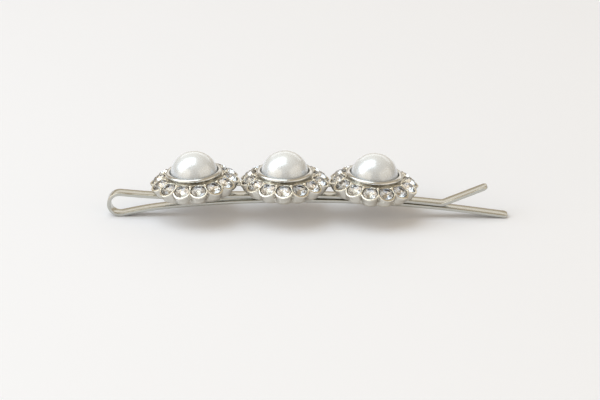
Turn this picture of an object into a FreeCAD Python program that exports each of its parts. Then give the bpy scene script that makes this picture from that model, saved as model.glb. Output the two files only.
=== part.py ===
"""Sprung hair pin with a row of three flowers, each a pearl in a collar with a ring of set stones.

Millimetres. +Z is up, +X runs from the pin's bend to its tips, and the origin is the middle of the
object's length and width, on the surface that it stands on.
"""

import FreeCAD
import Part

import math
import os

from FreeCAD import Placement, Rotation, Vector

# The pin: one flat sprung strip, folded once.
PIN_LENGTH = 67.1
STRIP_WIDTH = 2.1
STRIP_THICKNESS = 0.56
STRIP_EDGE_RADIUS = 0.12
BEND_RADIUS = 1.85  # to the middle of the strip
HINGE_SLIT = 0.07  # the strip is parted here, so that the two legs can turn

# The upper leg, from the bend: how far each stretch turns (degrees, up is positive) and its radius.
UPPER_BEND_EXIT = -5.1
UPPER_LEAD_LENGTH = 3.0
UPPER_SADDLE_RADIUS = 64.0
UPPER_SADDLE_END = 1.1
UPPER_STRAIGHT = 14.3
UPPER_BOW_RADIUS = 224.0
UPPER_BOW_END = -6.4
KINK_RADIUS = 1.3
KINK_RISE = 22.8
KINK_LENGTH = 7.75
KINK_TIP_ROUND = 0.85

# The lower leg, from the bend.
LOWER_BEND_EXIT = 14.0
LOWER_LEAD_RADIUS = 60.0
LOWER_LEAD_END = 6.15
LOWER_TIP_FLAT = 6.0
LOWER_TIP_CHAMFER = 0.35

# The flowers, in their own frame: the base plane is at z = 0.
STONES = 14
STONE_RING_RADIUS = 6.15
STONE_HEIGHT = 2.52
STONE_TILT = 29.0
STONE_RADIUS = 1.16
STONE_SINK = 0.06  # from the rim's plane to the girdle's top
STONE_TURN = 17.0  # each stone is turned by this much more than the one before it
SEAT_CLEARANCE = 0.03
CROWN_HEIGHT = 0.42
TABLE_RADIUS = 0.60
CROWN_RING_RADIUS = 0.93
GIRDLE_HALF = 0.04
PAVILION_DEPTH = 0.92
PAVILION_RING_RADIUS = 0.52
MAIN_FACETS = 8
PETAL_RADIUS = 1.70
PETAL_WAIST_RADIUS = 6.85
PETAL_WAIST_HEIGHT = 0.6
BASE_RADIUS = 5.95
BASE_SCALLOP = 0.22
RECESS_RADIUS = 4.8
RECESS_DEPTH = 0.55
BOSS_RADIUS = 2.4
BEAD_RADIUS = 0.24
INNER_BEAD_RING = 5.42
OUTER_BEAD_RING = 6.66

# The pearl and the collar that holds it.
PEARL_RADIUS = 4.0
PEARL_CENTRE = 3.02
PEARL_BACK = 1.42
COLLAR_BORE_CLEARANCE = 0.03
COLLAR_PROFILE = [  # radius and height: up the outside, over the rolled lip, down the inside
    (0.0, 0.98),
    (3.95, 0.98),
    (4.10, 1.3),
    (4.31, 2.6),
    (4.40, 3.2),
    (4.66, 3.36),
    (4.74, 3.52),
    (4.66, 3.72),
    (4.30, 3.86),
    (4.12, 3.82),
    (4.06, 3.6),
    (4.06, 2.7),
    (3.74, 1.40),
    (0.0, 1.40),
]

# Where each flower sits: along the pin, its base plane's height, its lean to the right and its turn.
FLOWERS = [
    {"x": -18.70, "z": 4.20, "lean": -3.8, "turn": 8.8},
    {"x": -3.80, "z": 4.34, "lean": 0.3, "turn": -0.5},
    {"x": 10.90, "z": 3.98, "lean": 4.4, "turn": -6.7},
]
SOLDER_LENGTH = 4.4
SOLDER_WIDTH = 1.6
SOLDER_DEPTH = 0.55
LINK_RADIUS = 0.45
LINK_LENGTH = 3.0
LINK_HEIGHT = 1.45

HALF_SECTOR = 180.0 / STONES
TILT = math.radians(STONE_TILT)


def direction(degrees):
    """The unit vector in the XZ plane that points this far above +X."""
    return Vector(math.cos(math.radians(degrees)), 0, math.sin(math.radians(degrees)))


def walk(start, heading, steps):
    """Follows steps of ("line", length) or ("turn", radius, new heading) and returns a list of stretches."""
    at, stretches = start, []
    for step in steps:
        if step[0] == "line":
            end = at + direction(heading) * step[1]
            stretches.append({"from": (at, heading), "to": (end, heading), "centre": None})
        else:
            radius, new_heading = step[1], step[2]
            side = 90.0 if new_heading > heading else -90.0
            centre = at + direction(heading + side) * radius
            end = centre - direction(new_heading + side) * radius
            stretches.append({"from": (at, heading), "to": (end, new_heading), "centre": centre})
            heading = new_heading
        at = end
    return stretches


def beside(place, offset):
    """The point at this distance to the left of a (point, heading) pair."""
    point, heading = place
    return point + direction(heading + 90.0) * offset


def side_edges(stretches, offset):
    """The strip's surface on one side, as edges in order along the path."""
    edges = []
    for s in stretches:
        a, b = beside(s["from"], offset), beside(s["to"], offset)
        if s["centre"] is None:
            edges.append(Part.makeLine(a, b))
        else:
            middle = (s["from"][1] + s["to"][1]) / 2
            towards = s["from"][0] - s["centre"]
            side = 1 if s["to"][1] > s["from"][1] else -1
            radius = towards.Length - side * offset
            mid_point = s["centre"] - direction(middle + 90.0 * side) * radius
            edges.append(Part.Arc(a, mid_point, b).toShape())
    return edges


def strip_solid(stretches, tip_round=0.0, tip_chamfer=0.0):
    """The strip along a path, with its tip's corners cut or rounded and its long edges rounded."""
    half = STRIP_THICKNESS / 2
    left, right = side_edges(stretches, half), side_edges(stretches, -half)
    start, end = stretches[0]["from"], stretches[-1]["to"]
    caps = [
        Part.makeLine(beside(start, half), beside(start, -half)),
        Part.makeLine(beside(end, half), beside(end, -half)),
    ]
    outline = Part.Wire(Part.__sortEdges__(left + right + caps))
    outline.translate(Vector(0, -STRIP_WIDTH / 2, 0))
    solid = Part.Face(outline).extrude(Vector(0, STRIP_WIDTH, 0))
    corners = [e for e in solid.Edges if is_tip_corner(e, end)]
    solid = solid.makeFillet(tip_round, corners) if tip_round else solid.makeChamfer(tip_chamfer, corners)
    rims = [e for e in solid.Edges if runs_along(e, start, end if tip_chamfer else None)]
    return solid.makeFillet(STRIP_EDGE_RADIUS, rims)


def is_tip_corner(edge, end):
    """True for the two short edges through the strip's thickness at its tip."""
    point, heading = end
    reach = [(v.Point - point).dot(direction(heading)) for v in edge.Vertexes]
    sides = [abs(v.Point.y) for v in edge.Vertexes]
    same_side = abs(edge.Vertexes[0].Point.y - edge.Vertexes[-1].Point.y) < 1e-6
    return max(map(abs, reach)) < 1e-6 and min(sides) > STRIP_WIDTH / 2 - 1e-6 and same_side


def runs_along(edge, *square_ends):
    """True for an edge of the strip's top or bottom face, apart from those of the ends that stay square."""
    for point, heading in filter(None, square_ends):
        reach = tip_reach(heading)
        if all(abs((v.Point - point).dot(direction(heading))) < reach for v in edge.Vertexes):
            return False
    box = edge.BoundBox
    crosses_thickness = edge.Length < STRIP_THICKNESS * 1.01 and box.YLength < 1e-6
    crosses_width = abs(edge.Length - STRIP_WIDTH) < 1e-6 and box.YLength > STRIP_WIDTH - 1e-6
    return not (crosses_thickness or crosses_width)


def tip_reach(heading):
    """How far back from an end its edges lie: the chamfers' length at the tip, nothing at the slit."""
    return LOWER_TIP_CHAMFER + 1e-6 if abs(heading) < 45 else 1e-6


def bend_centre():
    height = STRIP_THICKNESS / 2 + BEND_RADIUS
    return Vector(-PIN_LENGTH / 2 + STRIP_THICKNESS / 2 + BEND_RADIUS, 0, height)


def hinge_point():
    """The middle of the strip at the far left of the bend, where the legs turn."""
    return bend_centre() - Vector(BEND_RADIUS, 0, 0)


def slit_angle():
    return math.degrees(HINGE_SLIT / 2 / BEND_RADIUS)


def upper_path():
    """From the slit over the top of the bend, along the flowers and up the kinked tip."""
    start = bend_centre() - direction(-slit_angle()) * BEND_RADIUS
    heading = 90.0 - slit_angle()
    lead = [
        ("turn", BEND_RADIUS, UPPER_BEND_EXIT),
        ("line", UPPER_LEAD_LENGTH),
        ("turn", UPPER_SADDLE_RADIUS, UPPER_SADDLE_END),
        ("line", UPPER_STRAIGHT),
    ]
    tail = [
        ("turn", UPPER_BOW_RADIUS, UPPER_BOW_END),
        ("turn", KINK_RADIUS, KINK_RISE),
        ("line", KINK_LENGTH),
    ]
    return walk(start, heading, lead + tail)


def lower_path():
    """From the slit under the bend and along the bowed lower leg to its flat tip."""
    start = bend_centre() - direction(slit_angle()) * BEND_RADIUS
    heading = -90.0 + slit_angle()
    lead = walk(start, heading, [
        ("turn", BEND_RADIUS, LOWER_BEND_EXIT),
        ("turn", LOWER_LEAD_RADIUS, LOWER_LEAD_END),
    ])
    radius, tip_heading = lower_bow(lead[-1]["to"][0])
    bow = walk(lead[-1]["to"][0], LOWER_LEAD_END, [
        ("turn", radius, tip_heading),
        ("line", LOWER_TIP_FLAT),
    ])
    return lead + bow


def lower_bow(start):
    """The bow's radius and last heading, so that the tip ends at the pin's full length, on the surface."""
    half = STRIP_THICKNESS / 2
    low, high = 100.0, 800.0
    heading = 0.0
    for _ in range(60):
        radius = (low + high) / 2
        heading = bow_heading(start, radius)
        end = walk(start, LOWER_LEAD_END, [("turn", radius, heading), ("line", LOWER_TIP_FLAT)])[-1]["to"]
        if beside(end, -half).z > 0:
            high = radius
        else:
            low = radius
    return radius, heading


def bow_heading(start, radius):
    """The heading at the bow's end that brings the tip's furthest corner to the pin's full length."""
    low, high = -30.0, LOWER_LEAD_END - 0.1
    for _ in range(60):
        heading = (low + high) / 2
        end = walk(start, LOWER_LEAD_END, [("turn", radius, heading), ("line", LOWER_TIP_FLAT)])[-1]["to"]
        if beside(end, STRIP_THICKNESS / 2).x > PIN_LENGTH / 2:
            low = heading
        else:
            high = heading
    return heading


def ring_point(radius, degrees, height):
    angle = math.radians(degrees)
    return Vector(radius * math.cos(angle), radius * math.sin(angle), height)


def rim_plane_height(radius, off_centre):
    """Height of a petal's rim plane at this distance from the flower's axis, this far round from its stone."""
    along = radius * math.cos(math.radians(off_centre))
    return STONE_HEIGHT + (STONE_RING_RADIUS - along) * math.tan(TILT)


def crease_radius():
    """How far out the rims of two neighbouring petals meet."""
    t, c = math.tan(math.radians(HALF_SECTOR)), math.cos(TILT)
    a = 1 + (c * t) ** 2
    b = 2 * STONE_RING_RADIUS * c * t * t
    k = (STONE_RING_RADIUS * t) ** 2 - PETAL_RADIUS**2
    outward = (-b + math.sqrt(b * b - 4 * a * k)) / (2 * a)
    return (STONE_RING_RADIUS + outward * c) / math.cos(math.radians(HALF_SECTOR))


def petal_arc(degrees, tip, crease):
    """The petal's edge at one level, from crease to crease. tip and crease are (radius, height) pairs."""
    return Part.Arc(
        ring_point(crease[0], degrees - HALF_SECTOR, crease[1]),
        ring_point(tip[0], degrees, tip[1]),
        ring_point(crease[0], degrees + HALF_SECTOR, crease[1]),
    ).toShape()


def petal_levels():
    """The petal's edge at its rim, its waist and its base."""
    tip = STONE_RING_RADIUS + PETAL_RADIUS * math.cos(TILT)
    crease = crease_radius()
    waist_crease = PETAL_WAIST_RADIUS - BASE_SCALLOP * 1.5
    return [
        ((tip, STONE_HEIGHT - PETAL_RADIUS * math.sin(TILT)), (crease, rim_plane_height(crease, HALF_SECTOR))),
        ((PETAL_WAIST_RADIUS, PETAL_WAIST_HEIGHT), (waist_crease, PETAL_WAIST_HEIGHT)),
        ((BASE_RADIUS, 0.0), (BASE_RADIUS - BASE_SCALLOP, 0.0)),
    ]


def petal_body():
    """The scalloped body before anything is cut from it: a petal wall and a sloping rim for each stone."""
    levels = petal_levels()
    apex = Vector(0, 0, rim_plane_height(0, 0))
    faces, base_edges = [], []
    for n in range(STONES):
        degrees = n * 2 * HALF_SECTOR
        arcs = [petal_arc(degrees, tip, crease) for tip, crease in levels]
        faces += [Part.makeRuledSurface(arcs[0], arcs[1]), Part.makeRuledSurface(arcs[1], arcs[2])]
        ends = arcs[0].Vertexes
        rim = [arcs[0], Part.makeLine(ends[-1].Point, apex), Part.makeLine(apex, ends[0].Point)]
        faces.append(Part.Face(Part.Wire(rim)))
        base_edges.append(arcs[2])
    faces.append(Part.Face(Part.Wire(base_edges)))
    shell = Part.makeShell(faces)
    shell.sewShape()
    return Part.Solid(shell)


def stone_places():
    """A placement for each stone: its girdle's centre and its axis, leaning outwards."""
    places = []
    for n in range(STONES):
        degrees = n * 2 * HALF_SECTOR
        lean = Rotation(Vector(0, 1, 0), STONE_TILT)
        turn = Rotation(Vector(0, 0, 1), degrees)
        places.append(Placement(ring_point(STONE_RING_RADIUS, degrees, STONE_HEIGHT), turn * lean))
    return places




def facet_ring(radius, height, count, first=0.0):
    return [ring_point(radius, first + 360.0 * n / count, height) for n in range(count)]


def stone_solid():
    """A round faceted stone about its girdle's centre, with its table up: 8 main facets above and below."""
    half_step = 180.0 / MAIN_FACETS
    top = [STONE_RADIUS, GIRDLE_HALF]
    crown_along = CROWN_RING_RADIUS * math.cos(math.radians(half_step))
    crown_share = (crown_along - TABLE_RADIUS) / (top[0] - TABLE_RADIUS)
    crown_height = CROWN_HEIGHT + (top[1] - CROWN_HEIGHT) * crown_share
    pavilion_along = PAVILION_RING_RADIUS * math.cos(math.radians(half_step))
    pavilion_height = -PAVILION_DEPTH + (PAVILION_DEPTH - GIRDLE_HALF) * pavilion_along / STONE_RADIUS
    table = facet_ring(TABLE_RADIUS, CROWN_HEIGHT, MAIN_FACETS)
    crown = facet_ring(CROWN_RING_RADIUS, crown_height, MAIN_FACETS, half_step)
    upper = facet_ring(STONE_RADIUS, GIRDLE_HALF, 2 * MAIN_FACETS)
    lower = facet_ring(STONE_RADIUS, -GIRDLE_HALF, 2 * MAIN_FACETS)
    pavilion = facet_ring(PAVILION_RING_RADIUS, pavilion_height, MAIN_FACETS, half_step)
    culet = Vector(0, 0, -PAVILION_DEPTH)
    facets = [table]
    for n in range(MAIN_FACETS):
        after = (n + 1) % MAIN_FACETS
        g = [2 * n, 2 * n + 1, (2 * n + 2) % (2 * MAIN_FACETS)]
        facets += [
            [table[n], crown[n], table[after]],
            [table[n], crown[n - 1], upper[g[0]], crown[n]],
            [crown[n], upper[g[0]], upper[g[1]]],
            [crown[n], upper[g[1]], upper[g[2]]],
            [upper[g[0]], lower[g[0]], lower[g[1]], upper[g[1]]],
            [upper[g[1]], lower[g[1]], lower[g[2]], upper[g[2]]],
            [pavilion[n], lower[g[0]], lower[g[1]]],
            [pavilion[n], lower[g[1]], lower[g[2]]],
            [culet, pavilion[n - 1], lower[g[0]], pavilion[n]],
        ]
    shell = Part.makeShell([Part.Face(Part.makePolygon(f + [f[0]])) for f in facets])
    return upright(Part.Solid(shell))


def upright(solid):
    """The same solid with its faces pointing outwards."""
    if solid.Volume < 0:
        solid.reverse()
    return solid


def revolved(profile):
    points = [Vector(r, 0, z) for r, z in profile]
    face = Part.Face(Part.makePolygon(points + [points[0]]))
    return upright(face.revolve(Vector(0, 0, 0), Vector(0, 0, 1), 360))


def seat_cutter():
    """What is drilled out for one stone, about the girdle's centre: open above, a cone below."""
    wide = STONE_RADIUS + SEAT_CLEARANCE
    deep = PAVILION_DEPTH + 2 * SEAT_CLEARANCE
    shoulder = -GIRDLE_HALF - SEAT_CLEARANCE
    return revolved([(0, -deep), (wide, shoulder), (wide, 3 * CROWN_HEIGHT), (0, 3 * CROWN_HEIGHT)])


def collar_bore():
    """The collar's outside grown by its clearance and carried on up, to cut its place in the casting."""
    grow = COLLAR_BORE_CLEARANCE
    outside = COLLAR_PROFILE[:7]
    top = outside[-1][1] + 3.0
    walls = [(r + grow if r else 0.0, z) for r, z in outside]
    return revolved(walls + [(outside[-1][0] + grow, top), (0.0, top)])


def bead_points():
    """The grains that hold the stones, two between each pair: one inside the ring and one outside."""
    points = []
    for n in range(STONES):
        degrees = (2 * n + 1) * HALF_SECTOR
        for ring in (INNER_BEAD_RING, OUTER_BEAD_RING):
            points.append(ring_point(ring, degrees, rim_plane_height(ring, HALF_SECTOR)))
    return points


def setting_solid():
    """The cast flower: petals, stone seats, the collar's seat, holding beads and a hollow back."""
    body = petal_body()
    recess = Part.makeCylinder(RECESS_RADIUS, RECESS_DEPTH)
    recess = recess.cut(Part.makeCylinder(BOSS_RADIUS, RECESS_DEPTH))
    cutters = [collar_bore(), recess]
    for place in stone_places():
        cutter = seat_cutter()
        cutter.Placement = place.multiply(Placement(Vector(0, 0, -STONE_SINK), Rotation()))
        cutters.append(cutter)
    body = body.cut(cutters)
    beads = [Part.makeSphere(BEAD_RADIUS, p) for p in bead_points()]
    return body.fuse(beads).Solids[0]


def collar_solid():
    return revolved(COLLAR_PROFILE)


def pearl_solid():
    """A pearl with a flat back, which rests on the collar's floor."""
    ball = Part.makeSphere(PEARL_RADIUS, Vector(0, 0, PEARL_CENTRE))
    below = Part.makeBox(4 * PEARL_RADIUS, 4 * PEARL_RADIUS, 4 * PEARL_RADIUS)
    below.translate(Vector(-2 * PEARL_RADIUS, -2 * PEARL_RADIUS, PEARL_BACK - 4 * PEARL_RADIUS))
    return ball.cut(below)


def flower_place(flower):
    """Turns a flower's frame about its own axis, leans it along the pin and puts it in its place."""
    lean = Rotation(Vector(0, 1, 0), flower["lean"])
    turn = Rotation(Vector(0, 0, 1), flower["turn"] - 90.0)
    return Placement(Vector(flower["x"], 0, flower["z"]), lean * turn)


def leaned_place(flower):
    return Placement(Vector(flower["x"], 0, flower["z"]), Rotation(Vector(0, 1, 0), flower["lean"]))


def placed(solid, place):
    moved = solid.copy()
    moved.Placement = place.multiply(solid.Placement)
    return moved


def solder_solid(flower, leg):
    """The solder between the leg's top face and the flower's boss."""
    pad = Part.makeBox(SOLDER_LENGTH, SOLDER_WIDTH, SOLDER_DEPTH)
    pad.translate(Vector(-SOLDER_LENGTH / 2, -SOLDER_WIDTH / 2, -SOLDER_DEPTH))
    upright_edges = [e for e in pad.Edges if abs(e.Vertexes[0].Z - e.Vertexes[1].Z) > SOLDER_DEPTH / 2]
    pad = pad.makeFillet(SOLDER_WIDTH * 0.45, upright_edges)
    return largest(placed(pad, leaned_place(flower)).cut(leg))


def link_solid(left, right, settings):
    """The short bar that joins two neighbouring castings under their rims."""
    a, b = FLOWERS[left], FLOWERS[right]
    middle = Vector((a["x"] + b["x"]) / 2, 0, (a["z"] + b["z"]) / 2 + LINK_HEIGHT)
    start = middle - Vector(LINK_LENGTH / 2, 0, 0)
    bar = Part.makeCylinder(LINK_RADIUS, LINK_LENGTH, start, Vector(1, 0, 0))
    cut = bar.cut([settings[left], settings[right]])
    return min(cut.Solids, key=lambda s: (s.CenterOfMass - middle).Length)


def largest(shape):
    return max(shape.Solids, key=lambda s: s.Volume)


def build():
    """Every node's name and shape."""
    nodes = {
        "pin_upper_leg": strip_solid(upper_path(), KINK_TIP_ROUND),
        "pin_lower_leg": strip_solid(lower_path(), tip_chamfer=LOWER_TIP_CHAMFER),
    }
    setting, collar, pearl, stone = setting_solid(), collar_solid(), pearl_solid(), stone_solid()
    settings = []
    for number, flower in enumerate(FLOWERS, start=1):
        place = flower_place(flower)
        settings.append(placed(setting, place))
        nodes[f"flower_{number}_setting"] = settings[-1]
        nodes[f"flower_{number}_collar"] = placed(collar, place)
        nodes[f"flower_{number}_pearl"] = placed(pearl, place)
        nodes[f"flower_{number}_solder"] = solder_solid(flower, nodes["pin_upper_leg"])
        for n, seat in enumerate(stone_places(), start=1):
            spin = Rotation(Vector(0, 0, 1), STONE_TURN * n)
            sunk = seat.multiply(Placement(Vector(0, 0, -STONE_SINK), spin))
            nodes[f"flower_{number}_stone_{n:02d}"] = placed(placed(stone, sunk), place)
    nodes["link_1_2"] = link_solid(0, 1, settings)
    nodes["link_2_3"] = link_solid(1, 2, settings)
    return nodes


def main():
    os.makedirs("parts", exist_ok=True)
    nodes = build()
    for name, shape in nodes.items():
        print(f"{name}: {len(shape.Solids)} solid, {shape.Volume:.3f} mm3, valid {shape.isValid()}")
        shape.exportStep(f"parts/{name}.step")
    whole = Part.makeCompound(list(nodes.values())).BoundBox
    hinge = hinge_point()
    print(f"length {whole.XLength:.2f}, width {whole.YLength:.2f}, height {whole.ZLength:.2f}")
    print(f"hinge at {hinge.x:.4f} {hinge.y:.4f} {hinge.z:.4f}")


main()
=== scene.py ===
"""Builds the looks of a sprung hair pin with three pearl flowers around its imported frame."""

import math

import bpy
from bpy.props import FloatProperty, FloatVectorProperty, IntProperty, PointerProperty
from mathutils import Matrix, Vector


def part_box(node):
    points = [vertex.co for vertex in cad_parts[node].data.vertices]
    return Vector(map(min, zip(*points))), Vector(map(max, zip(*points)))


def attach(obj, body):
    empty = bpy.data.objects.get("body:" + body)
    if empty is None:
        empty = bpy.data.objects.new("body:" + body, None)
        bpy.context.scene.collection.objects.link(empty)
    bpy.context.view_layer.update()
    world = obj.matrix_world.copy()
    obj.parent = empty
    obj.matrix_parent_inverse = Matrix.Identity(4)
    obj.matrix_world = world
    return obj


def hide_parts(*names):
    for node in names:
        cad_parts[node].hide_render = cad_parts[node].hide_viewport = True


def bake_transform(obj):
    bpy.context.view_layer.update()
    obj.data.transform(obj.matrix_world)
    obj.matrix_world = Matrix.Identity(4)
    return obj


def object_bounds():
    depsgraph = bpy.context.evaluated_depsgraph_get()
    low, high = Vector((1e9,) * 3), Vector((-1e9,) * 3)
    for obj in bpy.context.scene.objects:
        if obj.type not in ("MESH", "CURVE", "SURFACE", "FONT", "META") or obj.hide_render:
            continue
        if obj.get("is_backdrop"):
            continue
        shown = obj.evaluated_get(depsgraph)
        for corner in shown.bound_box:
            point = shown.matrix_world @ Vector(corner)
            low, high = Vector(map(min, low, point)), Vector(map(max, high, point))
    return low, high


bl_info = {
    "name": "Pearl flower hair pin",
    "version": (1, 0, 0),
    "blender": (4, 5, 0),
    "location": "3D View > Sidebar > Hair pin",
    "description": "Models a folded hair pin with a row of cast flowers, set stones and pearls",
    "category": "Add Mesh",
}

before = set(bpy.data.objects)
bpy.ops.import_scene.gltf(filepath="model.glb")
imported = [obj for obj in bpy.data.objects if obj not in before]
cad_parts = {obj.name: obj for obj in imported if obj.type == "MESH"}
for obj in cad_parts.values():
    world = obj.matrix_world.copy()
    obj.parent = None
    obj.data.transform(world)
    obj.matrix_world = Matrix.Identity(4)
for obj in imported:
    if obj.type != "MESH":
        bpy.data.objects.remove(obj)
CAD_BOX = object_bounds()

MM = 0.001
LOWER_BODY = "lower_leg"
FLOWER_BODY = "flower_leg"
FLOWERS = (1, 2, 3)
PETALS = 14
SECTOR = 2 * math.pi / PETALS

# Each flower's lean along the pin and turn about its own axis, in degrees, as its castings are soldered.
FLOWER_LEAN = {1: -3.8, 2: 0.3, 3: 4.4}
FLOWER_TURN = {1: 8.8, 2: -0.5, 3: -6.7}
FLOWER_X = {1: -18.70, 2: -3.80, 3: 10.90}
FLOWER_Z = {1: 4.20, 2: 4.34, 3: 3.98}


# ---------------------------------------------------------------- sizes and colours


class HairPinStrip(bpy.types.PropertyGroup):
    width: FloatProperty(
        name="Width", description="Width of the strip", default=2.1 * MM, unit="LENGTH", precision=5
    )
    thickness: FloatProperty(
        name="Thickness", description="Thickness of the strip", default=0.56 * MM, unit="LENGTH", precision=5
    )
    edge: FloatProperty(
        name="Edge", description="Rounding of the long edges", default=0.12 * MM, unit="LENGTH", precision=5
    )
    colour: FloatVectorProperty(
        name="Colour", description="Plating on the strip", subtype="COLOR", size=3, default=(0.56, 0.56, 0.525)
    )


class HairPinCasting(bpy.types.PropertyGroup):
    petal_radius: FloatProperty(
        name="Petal", description="Radius of a petal's round rim", default=1.70 * MM, unit="LENGTH", precision=5
    )
    stone_ring: FloatProperty(
        name="Stone ring", description="Radius of the ring of stones", default=6.15 * MM, unit="LENGTH", precision=5
    )
    stone_height: FloatProperty(
        name="Stone height", description="Height of a rim's middle", default=2.52 * MM, unit="LENGTH", precision=5
    )
    tilt: FloatProperty(
        name="Tilt", description="How far each rim leans outwards", default=math.radians(29.0), subtype="ANGLE"
    )
    colour: FloatVectorProperty(
        name="Colour", description="Plating on the castings", subtype="COLOR", size=3, default=(0.82, 0.80, 0.735)
    )


class HairPinStones(bpy.types.PropertyGroup):
    radius: FloatProperty(
        name="Radius", description="Girdle radius of a stone", default=1.16 * MM, unit="LENGTH", precision=5
    )
    sides: IntProperty(name="Main facets", description="Main facets round a stone", default=8, min=6, max=12)
    colour: FloatVectorProperty(
        name="Colour", description="Body colour of the stones", subtype="COLOR", size=3, default=(0.98, 0.985, 1.0)
    )


class HairPinPearls(bpy.types.PropertyGroup):
    radius: FloatProperty(
        name="Radius", description="Radius of a pearl", default=4.0 * MM, unit="LENGTH", precision=5
    )
    colour: FloatVectorProperty(
        name="Colour", description="Body colour of the pearls", subtype="COLOR", size=3, default=(0.74, 0.80, 0.89)
    )


class HairPinStage(bpy.types.PropertyGroup):
    floor_colour: FloatVectorProperty(
        name="Floor", description="Colour of the floor", subtype="COLOR", size=3, default=(0.839, 0.868, 0.965)
    )
    key_light: FloatProperty(
        name="Key light", description="Strength of the overhead softbox", default=1.0, subtype="FACTOR"
    )
    room_light: FloatProperty(
        name="Room light", description="Strength of the room's glow", default=0.56, subtype="FACTOR"
    )


PROPERTY_GROUPS = {
    "hair_pin_strip": HairPinStrip,
    "hair_pin_casting": HairPinCasting,
    "hair_pin_stones": HairPinStones,
    "hair_pin_pearls": HairPinPearls,
    "hair_pin_stage": HairPinStage,
}


# ---------------------------------------------------------------- modelling helpers


def clear_selection():
    if bpy.context.mode != "OBJECT":
        bpy.ops.object.mode_set(mode="OBJECT")
    bpy.ops.object.select_all(action="DESELECT")


def active(obj):
    clear_selection()
    obj.select_set(True)
    bpy.context.view_layer.objects.active = obj
    return obj


def new_piece(name):
    """Names the primitive that was just added and puts its place into its mesh."""
    obj = bpy.context.object
    obj.name = name
    obj.data.name = name
    bpy.ops.object.transform_apply(location=True, rotation=True, scale=True)
    return obj


def start_editing(obj, kind="VERT"):
    active(obj)
    bpy.ops.object.mode_set(mode="EDIT")
    bpy.ops.mesh.select_mode(type=kind)


def finish_editing():
    bpy.ops.object.mode_set(mode="OBJECT")


def pick(obj, kind, test):
    """In edit mode, selects the vertices, edges or faces that pass the test."""
    bpy.ops.object.mode_set(mode="OBJECT")
    mesh = obj.data
    for group in (mesh.vertices, mesh.edges, mesh.polygons):
        group.foreach_set("select", [False] * len(group))
    for item in {"VERT": mesh.vertices, "EDGE": mesh.edges, "FACE": mesh.polygons}[kind]:
        if test(item):
            item.select = True
    bpy.ops.object.mode_set(mode="EDIT")
    bpy.ops.mesh.select_mode(type=kind)


def extrude(offset):
    bpy.ops.mesh.extrude_region_move(TRANSFORM_OT_translate={"value": tuple(offset)})


def resize(x, y, z, centre):
    bpy.ops.transform.resize(value=(x, y, z), orient_type="GLOBAL", center_override=tuple(centre))


def outward_normals():
    bpy.ops.mesh.select_all(action="SELECT")
    bpy.ops.mesh.normals_make_consistent(inside=False)


def apply_modifier(obj, kind, **settings):
    active(obj)
    modifier = obj.modifiers.new(kind.title(), kind)
    for key, value in settings.items():
        setattr(modifier, key, value)
    bpy.ops.object.modifier_apply(modifier=modifier.name)


def smooth(obj, degrees=35.0):
    active(obj)
    bpy.ops.object.shade_smooth_by_angle(angle=math.radians(degrees))


def turned(name, profile, sides):
    """Turns a closed profile on the Z axis: a filled ring, extruded and resized from point to point."""
    radius, height = profile[0]
    clear_selection()
    bpy.ops.mesh.primitive_circle_add(vertices=sides, radius=radius, fill_type="NGON", location=(0, 0, height))
    obj = new_piece(name)
    start_editing(obj, "FACE")
    bpy.ops.mesh.select_all(action="SELECT")
    for next_radius, next_height in profile[1:]:
        extrude((0, 0, next_height - height))
        share = next_radius / radius
        resize(share, share, 1, (0, 0, next_height))
        radius, height = next_radius, next_height
    outward_normals()
    finish_editing()
    return obj


def in_metres(profile):
    return [(radius * MM, height * MM) for radius, height in profile]


def joined(objects, name):
    clear_selection()
    for obj in objects:
        obj.select_set(True)
    bpy.context.view_layer.objects.active = objects[0]
    bpy.ops.object.join()
    objects[0].name = name
    objects[0].data.name = name
    return objects[0]


def copied(obj, name, matrix):
    """A copy with its own mesh, moved in its mesh."""
    twin = obj.copy()
    twin.data = obj.data.copy()
    twin.name = name
    twin.data.name = name
    bpy.context.scene.collection.objects.link(twin)
    twin.data.transform(matrix)
    return twin


def ring_of(obj, name, count):
    """The object and its copies, evenly round the Z axis, as one object."""
    turns = [Matrix.Rotation(n * 2 * math.pi / count, 4, "Z") for n in range(1, count)]
    copies = [copied(obj, f"{name}_{n}", turn) for n, turn in enumerate(turns, 1)]
    return joined([obj, *copies], name)


def discard(obj):
    bpy.data.objects.remove(obj, do_unlink=True)


def flower_matrix(number):
    """From a flower's own frame, with its base at z = 0, to its place on the pin."""
    place = Matrix.Translation((FLOWER_X[number] * MM, 0, FLOWER_Z[number] * MM))
    lean = Matrix.Rotation(math.radians(FLOWER_LEAN[number]), 4, "Y")
    turn = Matrix.Rotation(math.radians(FLOWER_TURN[number] - 90.0), 4, "Z")
    return place @ lean @ turn


def dress(obj, *materials):
    obj.data.materials.clear()
    for material in materials:
        obj.data.materials.append(material)


# ---------------------------------------------------------------- finishes


def node(tree, kind, place=(0, 0), **inputs):
    made = tree.nodes.new(kind)
    made.location = place
    for key, value in inputs.items():
        made.inputs[key.replace("_", " ")].default_value = value
    return made


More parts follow.
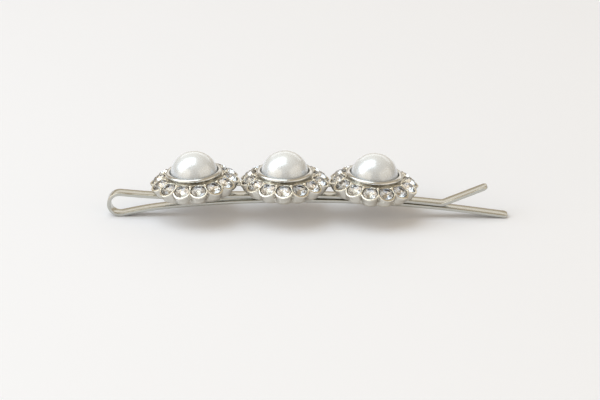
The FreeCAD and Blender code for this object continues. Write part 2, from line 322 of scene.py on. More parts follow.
def grain_group():
    """Fine unevenness for every finish: a height for bumps and a soft blotch from 0 to 1."""
    name = "Surface grain"
    if name in bpy.data.node_groups:
        return bpy.data.node_groups[name]
    tree = bpy.data.node_groups.new(name, "ShaderNodeTree")
    face = tree.interface
    face.new_socket(name="Vector", in_out="INPUT", socket_type="NodeSocketVector")
    fine = face.new_socket(name="Fine scale", in_out="INPUT", socket_type="NodeSocketFloat")
    fine.default_value = 4000.0
    coarse = face.new_socket(name="Blotch scale", in_out="INPUT", socket_type="NodeSocketFloat")
    coarse.default_value = 500.0
    face.new_socket(name="Height", in_out="OUTPUT", socket_type="NodeSocketFloat")
    face.new_socket(name="Blotch", in_out="OUTPUT", socket_type="NodeSocketFloat")
    inlet = tree.nodes.new("NodeGroupInput")
    outlet = tree.nodes.new("NodeGroupOutput")
    fine_noise = node(tree, "ShaderNodeTexNoise", (200, 100), Detail=3.0, Roughness=0.55)
    blotch_noise = node(tree, "ShaderNodeTexNoise", (200, -150), Detail=2.0, Roughness=0.5)
    for noise, key in ((fine_noise, "Fine scale"), (blotch_noise, "Blotch scale")):
        tree.links.new(inlet.outputs["Vector"], noise.inputs["Vector"])
        tree.links.new(inlet.outputs[key], noise.inputs["Scale"])
    tree.links.new(fine_noise.outputs["Fac"], outlet.inputs["Height"])
    tree.links.new(blotch_noise.outputs["Fac"], outlet.inputs["Blotch"])
    return tree


def new_material(name, **inputs):
    material = bpy.data.materials.new(name)
    material.use_nodes = True
    shader = material.node_tree.nodes["Principled BSDF"]
    for key, value in inputs.items():
        shader.inputs[key.replace("_", " ")].default_value = value
    return material, material.node_tree, shader


def grained(tree, shader, stretch, fine, blotch, tints, roughness, bump, bump_distance):
    """Feeds a shader's colour, roughness and normal from the grain group on Object coordinates.

    stretch scales the pattern along each axis, fine and blotch are its two scales, and tints and roughness are
    each a pair from low to high.
    """
    coordinates = node(tree, "ShaderNodeTexCoord", (-1100, 0))
    mapping = node(tree, "ShaderNodeMapping", (-900, 0))
    mapping.inputs["Scale"].default_value = stretch
    tree.links.new(coordinates.outputs["Object"], mapping.inputs["Vector"])
    grain = tree.nodes.new("ShaderNodeGroup")
    grain.node_tree = grain_group()
    grain.location = (-700, 0)
    grain.inputs["Fine scale"].default_value = fine
    grain.inputs["Blotch scale"].default_value = blotch
    tree.links.new(mapping.outputs["Vector"], grain.inputs["Vector"])
    ramp = tree.nodes.new("ShaderNodeValToRGB")
    ramp.location = (-450, 200)
    ramp.color_ramp.elements[0].position, ramp.color_ramp.elements[1].position = 0.35, 0.68
    ramp.color_ramp.elements[0].color = (*tints[0], 1)
    ramp.color_ramp.elements[1].color = (*tints[1], 1)
    tree.links.new(grain.outputs["Blotch"], ramp.inputs["Fac"])
    tree.links.new(ramp.outputs["Color"], shader.inputs["Base Color"])
    spread = node(tree, "ShaderNodeMapRange", (-450, -80))
    spread.inputs["To Min"].default_value, spread.inputs["To Max"].default_value = roughness
    tree.links.new(grain.outputs["Height"], spread.inputs["Value"])
    tree.links.new(spread.outputs["Result"], shader.inputs["Roughness"])
    relief = node(tree, "ShaderNodeBump", (-450, -300), Strength=bump, Distance=bump_distance)
    tree.links.new(grain.outputs["Height"], relief.inputs["Height"])
    tree.links.new(relief.outputs["Normal"], shader.inputs["Normal"])
    return ramp


def crease_shade_group():
    """A mask for painted shade: 0 in hollows and creases, and 1 on open faces and edges."""
    name = "Crease mask"
    if name in bpy.data.node_groups:
        return bpy.data.node_groups[name]
    tree = bpy.data.node_groups.new(name, "ShaderNodeTree")
    face = tree.interface
    deep = face.new_socket(name="Deep", in_out="INPUT", socket_type="NodeSocketFloat")
    deep.default_value = 0.44
    open_level = face.new_socket(name="Open", in_out="INPUT", socket_type="NodeSocketFloat")
    open_level.default_value = 0.52
    face.new_socket(name="Mask", in_out="OUTPUT", socket_type="NodeSocketFloat")
    inlet = tree.nodes.new("NodeGroupInput")
    outlet = tree.nodes.new("NodeGroupOutput")
    shape = node(tree, "ShaderNodeNewGeometry", (0, 200))
    spread = node(tree, "ShaderNodeMapRange", (200, 0))
    tree.links.new(shape.outputs["Pointiness"], spread.inputs["Value"])
    tree.links.new(inlet.outputs["Deep"], spread.inputs["From Min"])
    tree.links.new(inlet.outputs["Open"], spread.inputs["From Max"])
    tree.links.new(spread.outputs["Result"], outlet.inputs["Mask"])
    return tree


def paint_crease_shade(tree, shader, ramp, crease_shade_colour, deep, open_level):
    """Paints shade into a finish's colour where the metal is hollow."""
    crease = tree.nodes.new("ShaderNodeGroup")
    crease.node_tree = crease_shade_group()
    crease.location = (-450, 450)
    crease.inputs["Deep"].default_value = deep
    crease.inputs["Open"].default_value = open_level
    mix = tree.nodes.new("ShaderNodeMix")
    mix.data_type = "RGBA"
    mix.location = (-200, 300)
    mix.inputs["A"].default_value = (*crease_shade_colour, 1)
    tree.links.new(crease.outputs["Mask"], mix.inputs["Factor"])
    tree.links.new(ramp.outputs["Color"], mix.inputs["B"])
    tree.links.new(mix.outputs["Result"], shader.inputs["Base Color"])


def darker(colour, share):
    return tuple(c * share for c in colour)


def plated_strip_finish(colour):
    material, tree, shader = new_material("Plated spring strip", Metallic=1.0, Specular_IOR_Level=0.5)
    tints = (darker(colour, 0.93), tuple(colour))
    grained(tree, shader, (0.06, 1, 1), 9000.0, 700.0, tints, (0.13, 0.26), 0.12, 4e-6)
    return material


def plated_casting_finish(colour):
    material, tree, shader = new_material("Plated casting", Metallic=1.0, Specular_IOR_Level=0.5)
    tints = (darker(colour, 0.90), tuple(colour))
    ramp = grained(tree, shader, (1, 1, 1), 5200.0, 900.0, tints, (0.13, 0.27), 0.22, 1.2e-5)
    # painted shade: a dark brown mixed into the castings' colour in their creases and hollows
    paint_crease_shade(tree, shader, ramp, (0.20, 0.165, 0.12), 0.45, 0.52)
    return material


def plated_collar_finish(colour):
    material, tree, shader = new_material("Plated collar", Metallic=1.0, Specular_IOR_Level=0.5)
    tints = (darker(colour, 0.92), tuple(colour))
    grained(tree, shader, (1, 1, 1), 6000.0, 700.0, tints, (0.14, 0.24), 0.10, 8e-6)
    return material


def solder_finish():
    material, tree, shader = new_material("Dull solder", Metallic=1.0)
    tints = ((0.35, 0.34, 0.31), (0.5, 0.48, 0.45))
    grained(tree, shader, (1, 1, 1), 3000.0, 1200.0, tints, (0.35, 0.6), 0.5, 3e-5)
    return material


# Painted shade and light on the pearls: the colour is darkened towards the lip and brightened towards the crown;
# the two heights, and the colour's share at each.
PEARL_SHADE_HEIGHTS = (7.9 * MM, 11.2 * MM)
PEARL_SHADE_SHARES = (0.72, 1.16)


def pearl_finish(colour):
    """Lacquered imitation pearl: a pale body, a blurred lustre under a clear coat, with shade painted towards the
    lip and light painted towards the crown.
    """
    material, tree, shader = new_material(
        "Pearl lacquer",
        Metallic=0.32,
        IOR=1.55,
        Coat_Weight=1.0,
        Coat_Roughness=0.20,
        Coat_IOR=1.6,
    )
    tints = (darker(colour, 0.975), tuple(min(1.0, c * 1.04) for c in colour))
    ramp = grained(tree, shader, (1, 1, 1), 2600.0, 260.0, tints, (0.24, 0.30), 0.05, 6e-6)
    # painted shade and light: the colour is scaled by height, darker at the lip and lighter at the crown
    coordinates = node(tree, "ShaderNodeTexCoord", (-900, 500))
    split = node(tree, "ShaderNodeSeparateXYZ", (-700, 500))
    depth = node(tree, "ShaderNodeMapRange", (-450, 500))
    depth.inputs["From Min"].default_value, depth.inputs["From Max"].default_value = PEARL_SHADE_HEIGHTS
    depth.inputs["To Min"].default_value, depth.inputs["To Max"].default_value = PEARL_SHADE_SHARES
    shade = node(tree, "ShaderNodeVectorMath", (-180, 300))
    shade.operation = "SCALE"
    tree.links.new(coordinates.outputs["Object"], split.inputs["Vector"])
    tree.links.new(split.outputs["Z"], depth.inputs["Value"])
    tree.links.new(ramp.outputs["Color"], shade.inputs[0])
    tree.links.new(depth.outputs["Result"], shade.inputs["Scale"])
    tree.links.new(shade.outputs["Vector"], shader.inputs["Base Color"])
    return material


def clear_stone_finish(colour):
    material, tree, shader = new_material("Clear stone", Transmission_Weight=1.0, IOR=1.58, Roughness=0.0)
    coordinates = node(tree, "ShaderNodeTexCoord", (-900, 0))
    noise = node(tree, "ShaderNodeTexNoise", (-700, 0), Scale=900.0, Detail=1.0)
    ramp = tree.nodes.new("ShaderNodeValToRGB")
    ramp.location = (-450, 100)
    ramp.color_ramp.elements[0].color = (*darker(colour, 0.97), 1)
    ramp.color_ramp.elements[1].color = (*colour, 1)
    tree.links.new(coordinates.outputs["Object"], noise.inputs["Vector"])
    tree.links.new(noise.outputs["Fac"], ramp.inputs["Fac"])
    tree.links.new(ramp.outputs["Color"], shader.inputs["Base Color"])
    return material


def foil_finish():
    material, tree, shader = new_material("Silver foil back", Metallic=1.0)
    tints = ((0.50, 0.53, 0.58), (0.98, 0.985, 1.0))
    grained(tree, shader, (1, 1, 1), 3000.0, 900.0, tints, (0.02, 0.06), 0.02, 1e-6)
    return material


def floor_finish(colour):
    material, tree, shader = new_material("Pale floor", Specular_IOR_Level=0.3)
    tints = (darker(colour, 0.99), tuple(colour))
    grained(tree, shader, (1, 1, 1), 900.0, 6.0, tints, (0.55, 0.7), 0.03, 2e-5)
    return material


# ---------------------------------------------------------------- the strip


def direction(degrees):
    return Vector((math.cos(math.radians(degrees)), 0, math.sin(math.radians(degrees))))


def walk(start, heading, steps):
    """Follows ("line", length) and ("turn", radius, new heading) steps and lists each one's ends and centre."""
    at, stretches = start, []
    for step in steps:
        if step[0] == "line":
            end, new_heading, centre = at + direction(heading) * step[1] * MM, heading, None
        else:
            radius, new_heading = step[1] * MM, step[2]
            side = 90.0 if new_heading > heading else -90.0
            centre = at + direction(heading + side) * radius
            end = centre - direction(new_heading + side) * radius
        stretches.append({"from": at, "heading": heading, "to": end, "end_heading": new_heading, "centre": centre})
        at, heading = end, new_heading
    return stretches


LINE_STEP = 1.2 * MM
TURN_STEP = 4.5
LONG_TURN_STEP = 1.4 * MM


def strip_blank(name, start, heading, steps, sizes):
    """A strip of square section: a plate the size of the section, drawn along lines and spun round bends."""
    clear_selection()
    turn = (0, math.radians(90.0 - heading), 0)
    bpy.ops.mesh.primitive_plane_add(size=1, location=start, rotation=turn)
    bpy.context.object.scale = (sizes.thickness, sizes.width, 1)
    obj = new_piece(name)
    start_editing(obj, "FACE")
    bpy.ops.mesh.select_all(action="SELECT")
    stretches = walk(start, heading, steps)
    for s in stretches:
        if s["centre"] is None:
            run = s["to"] - s["from"]
            count = max(1, round(run.length / LINE_STEP))
            for _ in range(count):
                extrude(run / count)
        else:
            swing = math.radians(s["end_heading"] - s["heading"])
            length = abs(swing) * (s["from"] - s["centre"]).length
            count = max(2, round(max(length / LONG_TURN_STEP, abs(math.degrees(swing)) / TURN_STEP)))
            bpy.ops.mesh.spin(steps=count, angle=swing, center=s["centre"], axis=(0, 1, 0))
    outward_normals()
    finish_editing()
    return obj, stretches


def at_plane(point, place, heading):
    return abs((point - place).dot(direction(heading))) < 1e-6


def finish_strip(obj, sizes, open_ends, tip=None):
    """Rounds or cuts the tip's corners, rounds the long edges and closes the ends that meet the next piece."""
    mesh = obj.data
    start_editing(obj, "EDGE")
    if tip:
        place, heading, offset, segments = tip
        pick(
            obj,
            "EDGE",
            lambda e: all(at_plane(mesh.vertices[v].co, place, heading) for v in e.vertices)
            and abs(mesh.vertices[e.vertices[0]].co.y - mesh.vertices[e.vertices[1]].co.y) < 1e-6,
        )
        bpy.ops.mesh.bevel(offset=offset, segments=segments, affect="EDGES")
    for place, heading in open_ends:
        pick(obj, "FACE", lambda f: all(at_plane(mesh.vertices[v].co, place, heading) for v in f.vertices))
        bpy.ops.mesh.delete(type="ONLY_FACE")
    finish_editing()
    limit = math.radians(40)
    apply_modifier(obj, "BEVEL", width=sizes.edge, segments=3, limit_method="ANGLE", angle_limit=limit)
    start_editing(obj, "VERT")
    bpy.ops.mesh.select_all(action="DESELECT")
    for place, heading in open_ends:
        pick(obj, "VERT", lambda v: at_plane(v.co, place, heading))
        bpy.ops.mesh.edge_face_add()
    outward_normals()
    finish_editing()
    smooth(obj, 30.0)
    return obj


class HAIRPIN_OT_strip(bpy.types.Operator):
    """Model the folded strip as its bend and its two legs"""

    bl_idname = "hair_pin.strip"
    bl_label = "Strip"

    # The strip's middle line, in millimetres and degrees: the bend's radius, then each leg from the bend.
    BEND_RADIUS = 1.85
    UPPER_EXIT = -5.1
    UPPER_LEAD = 1.5
    UPPER_STEPS = (
        ("line", 1.5),
        ("turn", 64.0, 1.1),
        ("line", 14.3),
        ("turn", 224.0, -6.4),
        ("turn", 1.3, 22.8),
        ("line", 7.75),
    )
    LOWER_EXIT = 14.0
    LOWER_LEAD_HEADING = 13.0
    LOWER_LEAD_RADIUS = 60.0
    LOWER_LEAD_END = 6.15
    LOWER_FLAT = 6.0
    KINK_TIP_ROUND = 0.85
    LOWER_TIP_CUT = 0.35
    BLEND_HEIGHTS = (0.9, 3.2)  # heights on the bend, in millimetres, between which the real pin's bend gives when its legs spread

    def execute(self, context):
        sizes = context.scene.hair_pin_strip
        half = sizes.thickness / 2
        low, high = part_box("pin_lower_leg")
        radius = self.BEND_RADIUS * MM
        centre = Vector((low.x + half + radius, 0, half + radius))
        upper_start = centre + direction(90.0 + self.UPPER_EXIT) * radius
        lead = walk(upper_start, self.UPPER_EXIT, [("line", self.UPPER_LEAD)])[-1]
        lower_start = centre - direction(90.0 + self.LOWER_EXIT) * radius
        first_turn = ("turn", self.LOWER_LEAD_RADIUS, self.LOWER_LEAD_HEADING)
        lower_lead = walk(lower_start, self.LOWER_EXIT, [first_turn])[-1]
        metal = plated_strip_finish(sizes.colour)

        # the bend, from the lower leg's seam back round to the upper leg's seam
        back = [
            ("turn", self.LOWER_LEAD_RADIUS, 180.0 + self.LOWER_EXIT),
            ("turn", self.BEND_RADIUS, self.UPPER_EXIT),
            ("line", self.UPPER_LEAD),
        ]
        bend, _ = strip_blank("strip_bend", lower_lead["to"], 180.0 + self.LOWER_LEAD_HEADING, back, sizes)
        ends = [(lower_lead["to"], self.LOWER_LEAD_HEADING), (lead["to"], self.UPPER_EXIT)]
        finish_strip(bend, sizes, ends)

        upper, run = strip_blank("strip_upper_leg", lead["to"], self.UPPER_EXIT, self.UPPER_STEPS, sizes)
        tip = (run[-1]["to"], run[-1]["end_heading"], self.KINK_TIP_ROUND * MM, 10)
        finish_strip(upper, sizes, [(lead["to"], self.UPPER_EXIT)], tip)

        steps = [("turn", self.LOWER_LEAD_RADIUS, self.LOWER_LEAD_END)]
        lead_end = walk(lower_lead["to"], self.LOWER_LEAD_HEADING, steps)[-1]["to"]
        bow_radius, bow_end = self.bow(lead_end, half, high.x)
        steps += [("turn", bow_radius, bow_end), ("line", self.LOWER_FLAT)]
        lower, run = strip_blank("strip_lower_leg", lower_lead["to"], self.LOWER_LEAD_HEADING, steps, sizes)
        tip = (run[-1]["to"], run[-1]["end_heading"], self.LOWER_TIP_CUT * MM, 1)
        finish_strip(lower, sizes, [(lower_lead["to"], self.LOWER_LEAD_HEADING)], tip)

        for piece in (bend, upper, lower):
            dress(piece, metal)
        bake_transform(bend)
        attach(upper, FLOWER_BODY)
        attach(lower, LOWER_BODY)
        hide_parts("pin_upper_leg")
        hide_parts("pin_lower_leg")
        return {"FINISHED"}

    def bow(self, start, half, reach):
        """The lower leg's bow radius and last heading, which bring its tip down to the floor at its full reach."""
        low, high = 100.0, 800.0
        for _ in range(60):
            radius = (low + high) / 2
            first, last = -30.0, self.LOWER_LEAD_END - 0.1
            for _ in range(60):
                heading = (first + last) / 2
                steps = [("turn", radius, heading), ("line", self.LOWER_FLAT)]
                end = walk(start, self.LOWER_LEAD_END, steps)[-1]["to"]
                if (end + direction(heading + 90.0) * half).x > reach:
                    first = heading
                else:
                    last = heading
            if (end - direction(heading + 90.0) * half).z > 0:
                high = radius
            else:
                low = radius
        return radius, heading


# ---------------------------------------------------------------- the cast flowers


HUB_PROFILE = [  # radius and height of the casting's middle, in millimetres, from its boss round to its floor
    (2.4, 0.0),
    (2.4, 0.55),
    (4.7, 0.55),
    (4.7, 0.0),
    (5.5, 0.0),
    (6.0, 0.3),
    (6.25, 0.8),
    (6.4, 1.9),
    (4.95, 3.00),
    (4.50, 3.00),
    (4.40, 2.5),
    (4.18, 1.3),
    (4.0, 0.98),
    (0.3, 0.98),
]
BORE_PROFILE = [  # the collar's place, cleared out of the petals
    (4.0, 0.98),
    (4.18, 1.3),
    (4.45, 2.5),
    (4.6, 3.05),
    (4.6, 5.0),
]
HUB_SIDES = 112
PETAL_SIDES = 48
PETAL_LEVELS = (  # height, distance from the axis, half depth and half width, in millimetres
    (-0.25, 4.45, 1.30, 1.36),
    (0.05, 4.60, 1.55, 1.40),
    (0.35, 4.85, 1.85, 1.43),
    (0.70, 5.10, 1.90, 1.46),
    (1.10, 5.40, 1.82, 1.49),
)
RIM_WIDTH_SHARE = 0.90  # a rim is a little narrower across than it is deep
SEAT_RADIUS = 1.28
SEAT_HALF_DEPTH = 0.75
SEAT_RISE = 0.35  # how far the drill's middle stands above the rim
SEAT_POINT = (0.45, 0.30)  # the drill's point: its length, and its end's share of the drill's radius
INNER_BEADS = (5.42, 0.24)  # ring radius and bead radius
OUTER_BEADS = (6.60, 0.20)
BEAD_ROOT = 2.6  # a grain reaches down into the metal by this many of its radii
DECK_HEIGHT = 2.95  # the floor between the stones and the collar, above which only the outer rims stand
VOXEL = 0.065 * MM
FIRST_VOXEL = 0.9 * VOXEL


def rim_height(sizes, radius, off_centre):
    """Height of a rim's plane at this radius from the flower's axis, this far round from its stone's middle."""
    return sizes.stone_height + (sizes.stone_ring - radius * math.cos(off_centre)) * math.tan(sizes.tilt)


def petal_blank(sizes):
    """One petal: an oval foot drawn up and out to a round rim, which leans outwards."""
    clear_selection()
    height, reach, depth, width = PETAL_LEVELS[0]
    at = Vector((reach, 0, height)) * MM
    bpy.ops.mesh.primitive_circle_add(vertices=PETAL_SIDES, radius=MM, fill_type="NGON", location=at)
    obj = new_piece("petal")
    start_editing(obj, "FACE")
    bpy.ops.mesh.select_all(action="SELECT")
    resize(depth, width, 1, at)
    rim_size = sizes.petal_radius / MM
    rim_level = (sizes.stone_height / MM, sizes.stone_ring / MM, rim_size, RIM_WIDTH_SHARE * rim_size)
    for height, reach, new_depth, new_width in (*PETAL_LEVELS[1:], rim_level):
        level = Vector((reach, 0, height)) * MM
        extrude(level - at)
        resize(new_depth / depth, new_width / width, 1, level)
        at, depth, width = level, new_depth, new_width
    finish_editing()
    tip = Matrix.Translation(at) @ Matrix.Rotation(sizes.tilt, 4, "Y") @ Matrix.Translation(-at)
    top = max(obj.data.polygons, key=lambda f: f.center.z)
    for v in top.vertices:
        obj.data.vertices[v].co = tip @ obj.data.vertices[v].co
    start_editing(obj, "FACE")
    bpy.ops.mesh.select_all(action="SELECT")
    bpy.ops.mesh.bisect(plane_co=(0, 0, 0), plane_no=(0, 0, 1), use_fill=True, clear_inner=True)
    outward_normals()
    finish_editing()
    return obj


def seat_cutter(sizes):
    """A round drill with a tapered point, in line with a petal's stone."""
    clear_selection()
    depth = 2 * SEAT_HALF_DEPTH * MM
    bpy.ops.mesh.primitive_cylinder_add(vertices=PETAL_SIDES, radius=SEAT_RADIUS * MM, depth=depth)
    obj = new_piece("seat")
    start_editing(obj, "FACE")
    pick(obj, "FACE", lambda f: f.normal.z < -0.9)
    length, share = SEAT_POINT
    extrude((0, 0, -length * MM))
    resize(share, share, 1, (0, 0, 0))
    outward_normals()
    finish_editing()
    rim = Matrix.Translation((sizes.stone_ring, 0, sizes.stone_height)) @ Matrix.Rotation(sizes.tilt, 4, "Y")
    obj.data.transform(rim @ Matrix.Translation((0, 0, SEAT_RISE * MM)))
    return obj


def bead(sizes, ring, radius):
    """A holding grain between two petals."""
    angle = SECTOR / 2
    height = rim_height(sizes, ring * MM, angle)
    place = Vector((ring * MM * math.cos(angle), ring * MM * math.sin(angle), height))
    clear_selection()
    bpy.ops.mesh.primitive_ico_sphere_add(subdivisions=3, radius=radius * MM, location=place)
    obj = new_piece("bead")
    start_editing(obj, "VERT")
    pick(obj, "VERT", lambda v: v.co.z < place.z - 0.01 * MM)
    resize(1, 1, BEAD_ROOT, place)
    finish_editing()
    return obj


class HAIRPIN_OT_castings(bpy.types.Operator):
    """Model the scalloped cast flowers with their stone seats and holding grains"""

    bl_idname = "hair_pin.castings"
    bl_label = "Castings"

    def execute(self, context):
        sizes = context.scene.hair_pin_casting
        body = turned("flower_casting", in_metres(HUB_PROFILE), HUB_SIDES)
        petals = ring_of(petal_blank(sizes), "petals", PETALS)
        cutters = ring_of(seat_cutter(sizes), "seats", PETALS)
        bore = turned("bore", in_metres(BORE_PROFILE), HUB_SIDES)
        grains = [
            ring_of(bead(sizes, *INNER_BEADS), "inner_grains", PETALS),
            ring_of(bead(sizes, *OUTER_BEADS), "outer_grains", PETALS),
        ]
        apply_modifier(petals, "BOOLEAN", operation="DIFFERENCE", solver="EXACT", object=bore, use_self=True)
        body = joined([body, petals], "flower_casting")
        apply_modifier(body, "REMESH", mode="VOXEL", voxel_size=FIRST_VOXEL)
        apply_modifier(body, "BOOLEAN", operation="DIFFERENCE", solver="EXACT", object=cutters)
        start_editing(body, "FACE")
        bpy.ops.mesh.select_all(action="SELECT")
        deck = (0, 0, DECK_HEIGHT * MM)
        bpy.ops.mesh.bisect(plane_co=deck, plane_no=(0, 0, 1), use_fill=True, clear_outer=True)
        finish_editing()
        body = joined([body, *grains], "flower_casting")
        apply_modifier(body, "REMESH", mode="VOXEL", voxel_size=VOXEL)
        apply_modifier(body, "SMOOTH", factor=0.5, iterations=3)
        apply_modifier(body, "DECIMATE", ratio=0.5)
        discard(cutters)
        discard(bore)
        active(body)
        bpy.ops.object.shade_smooth()
        metal = plated_casting_finish(sizes.colour)
        dress(body, metal)
        for number in FLOWERS:
            casting = copied(body, f"flower_{number}_casting", flower_matrix(number))
            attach(casting, FLOWER_BODY)
            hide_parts(f"flower_{number}_setting")
        discard(body)
        for name in ("link_1_2", "link_2_3"):
            dress(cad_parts[name], metal)
        solder = solder_finish()
        for number in FLOWERS:
            dress(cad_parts[f"flower_{number}_solder"], solder)
        return {"FINISHED"}


# ---------------------------------------------------------------- collars, pearls and stones


COLLAR_PROFILE = [  # radius and height in millimetres: up the flare, over the rolled lip, down the inside
    (0.4, 0.98),
    (3.85, 0.98),
    (3.97, 1.04),
    (4.10, 1.3),
    (4.22, 2.0),
    (4.31, 2.6),
    (4.38, 3.05),
    (4.46, 3.25),
    (4.62, 3.34),
    (4.72, 3.42),
    (4.76, 3.52),
    (4.74, 3.64),
    (4.64, 3.76),
    (4.46, 3.85),
    (4.28, 3.88),
    (4.14, 3.85),
    (4.07, 3.76),
    (4.05, 3.6),
    (4.04, 2.7),
    (3.92, 2.0),
    (3.76, 1.46),
    (3.66, 1.40),
    (0.4, 1.40),
]
COLLAR_SIDES = 120
COLLAR_TINT = (0.85, 0.89, 0.98)  # the collars' plating beside that of the castings


class HAIRPIN_OT_collars(bpy.types.Operator):
    """Turn the flared collars that hold the pearls"""

    bl_idname = "hair_pin.collars"
    bl_label = "Collars"

    def execute(self, context):
        colour = context.scene.hair_pin_casting.colour
        collar = turned("collar", in_metres(COLLAR_PROFILE), COLLAR_SIDES)
        smooth(collar, 50.0)
        dress(collar, plated_collar_finish(tuple(c * s for c, s in zip(colour, COLLAR_TINT))))
        for number in FLOWERS:
            piece = copied(collar, f"flower_{number}_pearl_cup", flower_matrix(number))
            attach(piece, FLOWER_BODY)
            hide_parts(f"flower_{number}_collar")
        discard(collar)
        return {"FINISHED"}


PEARL_CENTRE = 3.02  # heights of a pearl's middle and of its flat back
PEARL_BACK = 1.42
PEARL_CUTS = 31


class HAIRPIN_OT_pearls(bpy.types.Operator):
    """Model the flat-backed pearls"""

    bl_idname = "hair_pin.pearls"
    bl_label = "Pearls"

    def execute(self, context):
        sizes = context.scene.hair_pin_pearls
        middle = (0, 0, PEARL_CENTRE * MM)
        clear_selection()
        bpy.ops.mesh.primitive_cube_add(size=2 * sizes.radius, location=middle)
        pearl = new_piece("pearl")
        start_editing(pearl, "FACE")
        bpy.ops.mesh.select_all(action="SELECT")
        bpy.ops.mesh.subdivide(number_cuts=PEARL_CUTS)
        bpy.ops.transform.tosphere(value=1.0, center_override=middle)
        finish_editing()
        for v in pearl.data.vertices:
            spoke = v.co - Vector(middle)
            v.co = Vector(middle) + spoke.normalized() * sizes.radius
        start_editing(pearl, "FACE")
        bpy.ops.mesh.select_all(action="SELECT")
        back = (0, 0, PEARL_BACK * MM)
        bpy.ops.mesh.bisect(plane_co=back, plane_no=(0, 0, 1), use_fill=True, clear_inner=True)
        outward_normals()
        finish_editing()
        smooth(pearl, 40.0)
        dress(pearl, pearl_finish(sizes.colour))
        for number in FLOWERS:
            piece = copied(pearl, f"flower_{number}_pearl_bead", flower_matrix(number))
            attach(piece, FLOWER_BODY)
            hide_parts(f"flower_{number}_pearl")
        discard(pearl)
        return {"FINISHED"}


# A stone's levels in shares of its girdle radius, with a crown above and a pointed pavilion below.
TABLE_SHARE = 0.55
CROWN_HEIGHT = 0.38
CROWN_RING = 0.85
GIRDLE_HALF = 0.035
PAVILION_DEPTH = 0.80
PAVILION_RING = 0.48
CULET = 0.02
STONE_SINK = 0.10  # how far a girdle lies below its rim, in millimetres
STONE_TURN = 17.0  # each stone is turned this much further than the last, in degrees


def stone_blank(sizes):
    """A faceted stone about its girdle: rings of corners, wrapped in flat facets."""
    n, r = sizes.sides, sizes.radius
    half = math.pi / n
    crown_ring_height = CROWN_HEIGHT + (GIRDLE_HALF - CROWN_HEIGHT) * (
        (CROWN_RING * math.cos(half) - TABLE_SHARE) / (1 - TABLE_SHARE)
    )
    pavilion_height = -PAVILION_DEPTH + (PAVILION_DEPTH - GIRDLE_HALF) * PAVILION_RING * math.cos(half)
    rings = [
        (TABLE_SHARE, CROWN_HEIGHT, n, 0.0),
        (CROWN_RING, crown_ring_height, n, half),
        (1.0, GIRDLE_HALF, 2 * n, 0.0),
        (1.0, -GIRDLE_HALF, 2 * n, 0.0),
        (PAVILION_RING, pavilion_height, n, half),
        (CULET, -PAVILION_DEPTH, n, 0.0),
    ]
    levels = []
    for radius, height, count, first in rings:
        clear_selection()
        turn = (0, 0, first + math.pi / 2)
        bpy.ops.mesh.primitive_circle_add(
            vertices=count, radius=radius * r, location=(0, 0, height * r), rotation=turn
        )
        levels.append(new_piece("ring"))
    stone = joined(levels, "stone")
    start_editing(stone, "VERT")
    bpy.ops.mesh.select_all(action="SELECT")
    bpy.ops.mesh.convex_hull()
    bpy.ops.mesh.select_all(action="SELECT")
    bpy.ops.mesh.dissolve_limited(angle_limit=math.radians(0.6))
    outward_normals()
    finish_editing()
    return stone


class HAIRPIN_OT_stones(bpy.types.Operator):
    """Cut one foil-backed stone and set it all round each flower"""

    bl_idname = "hair_pin.stones"
    bl_label = "Stones"

    def execute(self, context):
        sizes = context.scene.hair_pin_stones
        ring = context.scene.hair_pin_casting
        stone = stone_blank(sizes)
        dress(stone, clear_stone_finish(sizes.colour), foil_finish())
        for face in stone.data.polygons:
            face.use_smooth = False
            face.material_index = 1 if face.center.z < -GIRDLE_HALF * sizes.radius * 1.01 else 0
        place = Matrix.Translation((ring.stone_ring, 0, ring.stone_height)) @ Matrix.Rotation(ring.tilt, 4, "Y")
        place = place @ Matrix.Translation((0, 0, -STONE_SINK * MM))
        for number in FLOWERS:
            for n in range(PETALS):
                about = Matrix.Rotation(n * SECTOR, 4, "Z")
                spin = Matrix.Rotation(math.radians(STONE_TURN * (n + 1)), 4, "Z")
                matrix = flower_matrix(number) @ about @ place @ spin
                piece = copied(stone, f"flower_{number}_rhinestone_{n + 1:02d}", matrix)
                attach(piece, FLOWER_BODY)
                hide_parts(f"flower_{number}_stone_{n + 1:02d}")
        discard(stone)
        return {"FINISHED"}


# ---------------------------------------------------------------- floor, lights and camera


# The camera: the point it looks at, where it stands, in degrees and metres, and the width it takes in there.
VIEW_CENTRE = Vector((-1.25 * MM, 0, 2.75 * MM))
VIEW_AZIMUTH = 0.75
VIEW_ELEVATION = 22.0
VIEW_DISTANCE = 0.42
VIEW_WIDTH = 100.5 * MM
SENSOR = 36.0

FLOOR_SIZE = 6.0
FLOOR_GAP = 0.02 * MM
ROOM_COLOUR = (1.0, 0.85, 0.64)  # the soft light that comes from all round
PAPER_COLOUR = (0.84, 0.84, 0.83)  # what stands beyond the floor
STUDIO_PANELS = (  # name, place, width and height in metres, how bright it looks, and its colour
    ("overhead_softbox", (-0.36, -0.03, 0.56), (0.55, 1.0), 1.99, (0.84, 0.95, 1.0)),
    ("back_panel", (0.10, 1.30, 0.60), (2.0, 0.34), 0.72, (0.95, 0.98, 1.0)),
    ("left_front_panel", (-1.0, -0.75, 0.45), (1.7, 1.1), 0.95, (1.0, 0.88, 0.70)),
    ("right_front_panel", (1.1, -0.55, 0.45), (1.7, 1.1), 0.60, (1.0, 0.88, 0.70)),
)


def area_light(name, place, aim, size, glow, colour):
    """A panel that looks as bright as its glow from every side."""
    lamp = bpy.data.lights.new(name, "AREA")
    lamp.shape = "RECTANGLE"
    lamp.size, lamp.size_y = size
    lamp.energy = glow * math.pi * size[0] * size[1]
    lamp.color = colour
    holder = bpy.data.objects.new(name, lamp)
    bpy.context.scene.collection.objects.link(holder)
    holder.location = place
    holder.rotation_euler = (Vector(aim) - Vector(place)).to_track_quat("-Z", "Y").to_euler()
    return holder


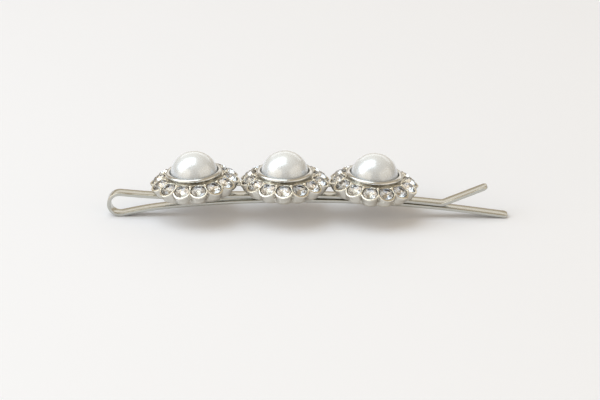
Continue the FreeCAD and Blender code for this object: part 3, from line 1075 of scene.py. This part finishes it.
class HAIRPIN_OT_stage(bpy.types.Operator):
    """Lay the pale floor and set the soft lights and the camera"""

    bl_idname = "hair_pin.stage"
    bl_label = "Stage"

    def execute(self, context):
        values = context.scene.hair_pin_stage
        clear_selection()
        bpy.ops.mesh.primitive_plane_add(size=FLOOR_SIZE, location=(0, 0, -FLOOR_GAP))
        floor = new_piece("floor")
        start_editing(floor, "FACE")
        bpy.ops.mesh.select_all(action="SELECT")
        bpy.ops.mesh.subdivide(number_cuts=7)
        finish_editing()
        dress(floor, floor_finish(values.floor_colour))
        floor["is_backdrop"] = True

        world = bpy.data.worlds.new("Studio")
        context.scene.world = world
        world.use_nodes = True
        tree = world.node_tree
        room = tree.nodes["Background"]
        room.inputs["Color"].default_value = (*ROOM_COLOUR, 1)
        room.inputs["Strength"].default_value = values.room_light
        paper = node(tree, "ShaderNodeBackground", (0, -150), Color=(*PAPER_COLOUR, 1), Strength=1.0)
        ray = node(tree, "ShaderNodeLightPath", (0, 300))
        seen = node(tree, "ShaderNodeMixShader", (250, 100))
        tree.links.new(ray.outputs["Is Camera Ray"], seen.inputs[0])
        tree.links.new(room.outputs["Background"], seen.inputs[1])
        tree.links.new(paper.outputs["Background"], seen.inputs[2])
        tree.links.new(seen.outputs["Shader"], tree.nodes["World Output"].inputs["Surface"])
        for name, place, size, glow, colour in STUDIO_PANELS:
            glow *= values.key_light if name == "overhead_softbox" else 1.0
            area_light(name, place, (0, 0, 0), size, glow, colour)

        camera = bpy.data.cameras.new("camera")
        camera.sensor_width = SENSOR
        camera.lens = SENSOR * VIEW_DISTANCE / VIEW_WIDTH
        camera.clip_start = 0.01
        holder = bpy.data.objects.new("camera", camera)
        context.scene.collection.objects.link(holder)
        a, e = math.radians(VIEW_AZIMUTH), math.radians(VIEW_ELEVATION)
        back = Vector((math.sin(a) * math.cos(e), -math.cos(a) * math.cos(e), math.sin(e)))
        holder.location = VIEW_CENTRE + back * VIEW_DISTANCE
        holder.rotation_euler = (-back).to_track_quat("-Z", "Y").to_euler()
        context.scene.camera = holder
        context.scene.view_settings.view_transform = "Standard"
        return {"FINISHED"}


# ---------------------------------------------------------------- panel and run


OPERATORS = (
    HAIRPIN_OT_strip,
    HAIRPIN_OT_castings,
    HAIRPIN_OT_collars,
    HAIRPIN_OT_pearls,
    HAIRPIN_OT_stones,
    HAIRPIN_OT_stage,
)


class HAIRPIN_PT_sidebar(bpy.types.Panel):
    """Lists the sizes, the colours and the steps"""

    bl_label = "Hair pin"
    bl_idname = "HAIRPIN_PT_sidebar"
    bl_space_type = "VIEW_3D"
    bl_region_type = "UI"
    bl_category = "Hair pin"

    def draw(self, context):
        for name, group in PROPERTY_GROUPS.items():
            box = self.layout.box()
            for key in group.__annotations__:
                box.prop(getattr(context.scene, name), key)
        for operator in OPERATORS:
            self.layout.operator(operator.bl_idname)


CLASSES = (*PROPERTY_GROUPS.values(), *OPERATORS, HAIRPIN_PT_sidebar)


def register():
    for cls in CLASSES:
        bpy.utils.register_class(cls)
    for name, group in PROPERTY_GROUPS.items():
        setattr(bpy.types.Scene, name, PointerProperty(type=group))


def unregister():
    for name in PROPERTY_GROUPS:
        delattr(bpy.types.Scene, name)
    for cls in reversed(CLASSES):
        bpy.utils.unregister_class(cls)


def main():
    register()
    for operator in OPERATORS:
        group, name = operator.bl_idname.split(".")
        getattr(getattr(bpy.ops, group), name)()
    clear_selection()
    boxes = {"cad": CAD_BOX, "visual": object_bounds()}
    boxes = {name: [list(corner) for corner in box] for name, box in boxes.items()}


if __name__ == "__main__":
    main()
